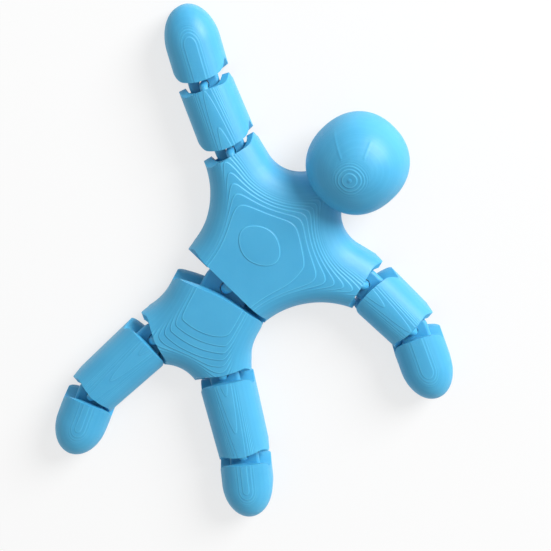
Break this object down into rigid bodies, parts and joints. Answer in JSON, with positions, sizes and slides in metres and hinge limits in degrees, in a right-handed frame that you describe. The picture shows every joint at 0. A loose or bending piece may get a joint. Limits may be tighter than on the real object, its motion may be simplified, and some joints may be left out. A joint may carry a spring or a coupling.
{
  "type": "jointed toy figure",
  "caption": "Print-in-place jointed toy figure: plain ball head on a broad chest, pelvis, and round-tipped arms and legs, chained by loose loop links that swing side to side.",
  "frame": {"origin": "middle of the chest's flat back, which lies on the ground", "axes": "+Z out of the figure's front, +Y from the waist towards the head, +X towards the figure's left hand"},
  "size_m": [0.1509, 0.1564, 0.0288],
  "materials": {
    "blue_print": "sky-blue printed plastic with fine layer lines and a soft sheen"
  },
  "bodies": {
    "chest": {"head_and_chest": "blue_print"},
    "pelvis": {"pelvis": "blue_print"},
    "left_upper_arm": {"left_upper_arm": "blue_print"},
    "left_hand": {"left_hand": "blue_print"},
    "right_upper_arm": {"right_upper_arm": "blue_print"},
    "right_hand": {"right_hand": "blue_print"},
    "left_thigh": {"left_thigh": "blue_print"},
    "left_foot": {"left_foot": "blue_print"},
    "right_thigh": {"right_thigh": "blue_print"},
    "right_foot": {"right_foot": "blue_print"}
  },
  "joints": [
    {"name": "waist", "type": "hinge", "parent": "chest", "child": "pelvis", "pos_m": [0, -0.0179, 0.0071], "axis": [0, 0, 1], "range_deg": [-38.9, 4.9]},
    {"name": "left_shoulder", "type": "hinge", "parent": "chest", "child": "left_upper_arm", "pos_m": [0.0307, 0.015, 0.0071], "axis": [0, 0, 1], "range_deg": [-17.4, 43.4]},
    {"name": "left_elbow", "type": "hinge", "parent": "left_upper_arm", "child": "left_hand", "pos_m": [0.0531, 0.01539, 0.0071], "axis": [0, 0, 1], "range_deg": [-4.4, 55.4]},
    {"name": "right_shoulder", "type": "hinge", "parent": "chest", "child": "right_upper_arm", "pos_m": [-0.0307, 0.015, 0.0071], "axis": [0, 0, 1], "range_deg": [-20.9, 39.9]},
    {"name": "right_elbow", "type": "hinge", "parent": "right_upper_arm", "child": "right_hand", "pos_m": [-0.05124, 0.02393, 0.0071], "axis": [0, 0, 1], "range_deg": [-24.4, 35.4]},
    {"name": "left_hip", "type": "hinge", "parent": "pelvis", "child": "left_thigh", "pos_m": [0.02038, -0.04011, 0.0071], "axis": [0, 0, 1], "range_deg": [-27.9, 25.9]},
    {"name": "left_knee", "type": "hinge", "parent": "left_thigh", "child": "left_foot", "pos_m": [0.04532, -0.05569, 0.0071], "axis": [0, 0, 1], "range_deg": [-22.4, 37.4]},
    {"name": "right_hip", "type": "hinge", "parent": "pelvis", "child": "right_thigh", "pos_m": [-0.00448, -0.04771, 0.0071], "axis": [0, 0, 1], "range_deg": [-48.4, 5.4]},
    {"name": "right_knee", "type": "hinge", "parent": "right_thigh", "child": "right_foot", "pos_m": [-0.00525, -0.0771, 0.0071], "axis": [0, 0, 1], "range_deg": [-54.9, 4.9]}
  ]
}
